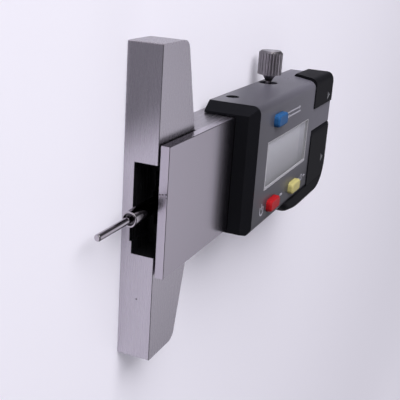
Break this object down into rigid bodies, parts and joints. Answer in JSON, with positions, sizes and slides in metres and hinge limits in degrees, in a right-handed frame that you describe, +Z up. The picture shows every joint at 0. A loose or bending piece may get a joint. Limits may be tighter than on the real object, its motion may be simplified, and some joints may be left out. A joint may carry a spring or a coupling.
{
  "type": "digital pit depth gauge",
  "caption": "Digital pit depth gauge: a sliding beam with a thin needle runs through a slotted steel base, under a box with a display, keys and a lock screw.",
  "frame": {"origin": "middle of the whole gauge over the surface that it lies on, with its needle out as in the picture", "axes": "+X runs from the measuring face along the beam to its end plate, +Y along the base to the lock screw's side, +Z up out of the display"},
  "size_m": [0.21, 0.1, 0.0252],
  "materials": {
    "ground_steel": "satin",
    "frame_steel": "satin",
    "plate_steel": "brushed",
    "screw_steel": "satin",
    "beam_steel": "satin",
    "scale_laminate": "matte",
    "stop_plastic": "matte",
    "chrome": "polished",
    "brass": "satin",
    "black_gloss": "glossy",
    "grey_cover": "satin",
    "black_shell": "satin",
    "clear_window": "glossy",
    "display": "glossy",
    "holder_plastic": "matte",
    "board": "satin",
    "mat_rubber": "matte",
    "blue_plastic": "glossy",
    "red_plastic": "glossy",
    "yellow_plastic": "glossy",
    "cell_metal": "polished",
    "gilt": "polished"
  },
  "bodies": {
    "frame": {"base_block": "ground_steel", "neck_frame": "frame_steel", "front_plate": "plate_steel", "base_screws": "screw_steel", "plate_screws": "screw_steel", "gib_strip": "brass", "gib_screw": "screw_steel", "lock_pad": "brass", "end_cap": "black_gloss", "front_cover": "grey_cover", "back_shell": "black_shell", "housing_screws": "screw_steel", "circuit_board": "board", "display_frame": "holder_plastic", "display_glass": "display", "window": "clear_window", "upper_key_mat": "mat_rubber", "lower_key_mat": "mat_rubber", "battery": "cell_metal", "lower_contact": "gilt", "side_contact": "gilt", "port_pads": "gilt"},
    "beam": {"slide_beam": "beam_steel", "beam_scale": "scale_laminate", "beam_stop": "stop_plastic", "stop_screws": "screw_steel", "needle_holder": "chrome", "needle": "chrome"},
    "lock_screw": {"lock_screw": "chrome"},
    "blue_key": {"blue_key": "blue_plastic"},
    "red_key": {"red_key": "red_plastic"},
    "yellow_key": {"yellow_key": "yellow_plastic"},
    "battery_cover": {"battery_cover": "black_gloss"},
    "port_cover": {"port_cover": "black_gloss"}
  },
  "joints": [
    {"name": "probe_slide", "type": "slide", "parent": "frame", "child": "beam", "axis": [1, 0, 0], "range_m": [-0.023, 0.027]},
    {"name": "lock_screw_turn", "type": "hinge", "parent": "frame", "child": "lock_screw", "pos_m": [0.02935, 0.025, 0.00758], "axis": [0, 1, 0], "range_deg": [0, 360]},
    {"name": "blue_key_press", "type": "slide", "parent": "frame", "child": "blue_key", "axis": [0, 0, -1], "range_m": [0, 0.0008], "stiffness_N_per_m": 1200, "springref_m": -0.0004},
    {"name": "red_key_press", "type": "slide", "parent": "frame", "child": "red_key", "axis": [0, 0, -1], "range_m": [0, 0.0008], "stiffness_N_per_m": 1200, "springref_m": -0.0004},
    {"name": "yellow_key_press", "type": "slide", "parent": "frame", "child": "yellow_key", "axis": [0, 0, -1], "range_m": [0, 0.0008], "stiffness_N_per_m": 1200, "springref_m": -0.0004},
    {"name": "battery_cover_slide", "type": "slide", "parent": "frame", "child": "battery_cover", "axis": [1, 0, 0], "range_m": [0, 0.06]},
    {"name": "port_cover_slide", "type": "slide", "parent": "frame", "child": "port_cover", "axis": [1, 0, 0], "range_m": [0, 0.06]}
  ]
}
